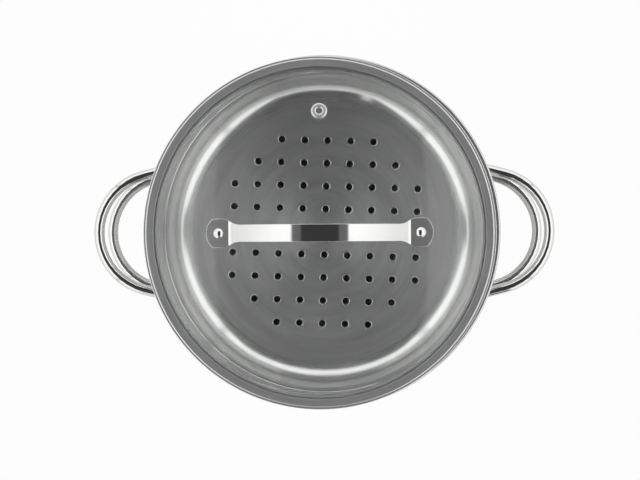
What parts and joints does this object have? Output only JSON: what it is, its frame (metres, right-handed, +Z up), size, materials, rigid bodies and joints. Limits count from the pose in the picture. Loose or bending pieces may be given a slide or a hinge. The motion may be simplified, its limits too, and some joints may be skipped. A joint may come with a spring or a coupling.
{
  "type": "steamer pot",
  "caption": "Steel stock pot with a perforated steamer tier stacked in its mouth and a domed vented glass lid with a steel strap handle.",
  "frame": {"origin": "centre of the pot's underside, on the surface that it stands on", "axes": "+Z up along the pot's axis; +X and -X through the side handles; the lid's steam vent is on the +Y side"},
  "size_m": [0.3522, 0.2669, 0.2809],
  "materials": {
    "drawn_steel": "satin",
    "base_aluminium": "matte",
    "base_steel": "turned satin",
    "rod_steel": "polished",
    "plate_steel": "satin",
    "lid_glass": "clear",
    "band_steel": "polished",
    "strap_steel": "polished",
    "rivet_steel": "polished",
    "soft_pads": "translucent silicone"
  },
  "bodies": {
    "pot": {"pot_body": "drawn_steel", "pot_base_disc": "base_aluminium", "pot_base_cap": "base_steel", "pot_handle_left": "rod_steel", "pot_handle_right": "rod_steel", "pot_plates_left": "plate_steel", "pot_plates_right": "plate_steel"},
    "steamer": {"steamer_body": "drawn_steel", "steamer_handle_left": "rod_steel", "steamer_handle_right": "rod_steel", "steamer_plates_left": "plate_steel", "steamer_plates_right": "plate_steel"},
    "lid": {"lid_glass": "lid_glass", "lid_band": "band_steel", "lid_strap": "strap_steel", "lid_rivet_left": "rivet_steel", "lid_rivet_right": "rivet_steel", "lid_upper_pad_left": "soft_pads", "lid_upper_pad_right": "soft_pads", "lid_lower_pad_left": "soft_pads", "lid_lower_pad_right": "soft_pads", "lid_washer_left": "rivet_steel", "lid_washer_right": "rivet_steel", "vent_eyelet": "rivet_steel", "vent_seal": "soft_pads"}
  },
  "joints": [
    {"name": "steamer_lift", "type": "slide", "parent": "pot", "child": "steamer", "axis": [0, 0, 1], "range_m": [0, 0.16]},
    {"name": "lid_lift", "type": "slide", "parent": "steamer", "child": "lid", "axis": [0, 0, 1], "range_m": [0, 0.16]}
  ]
}
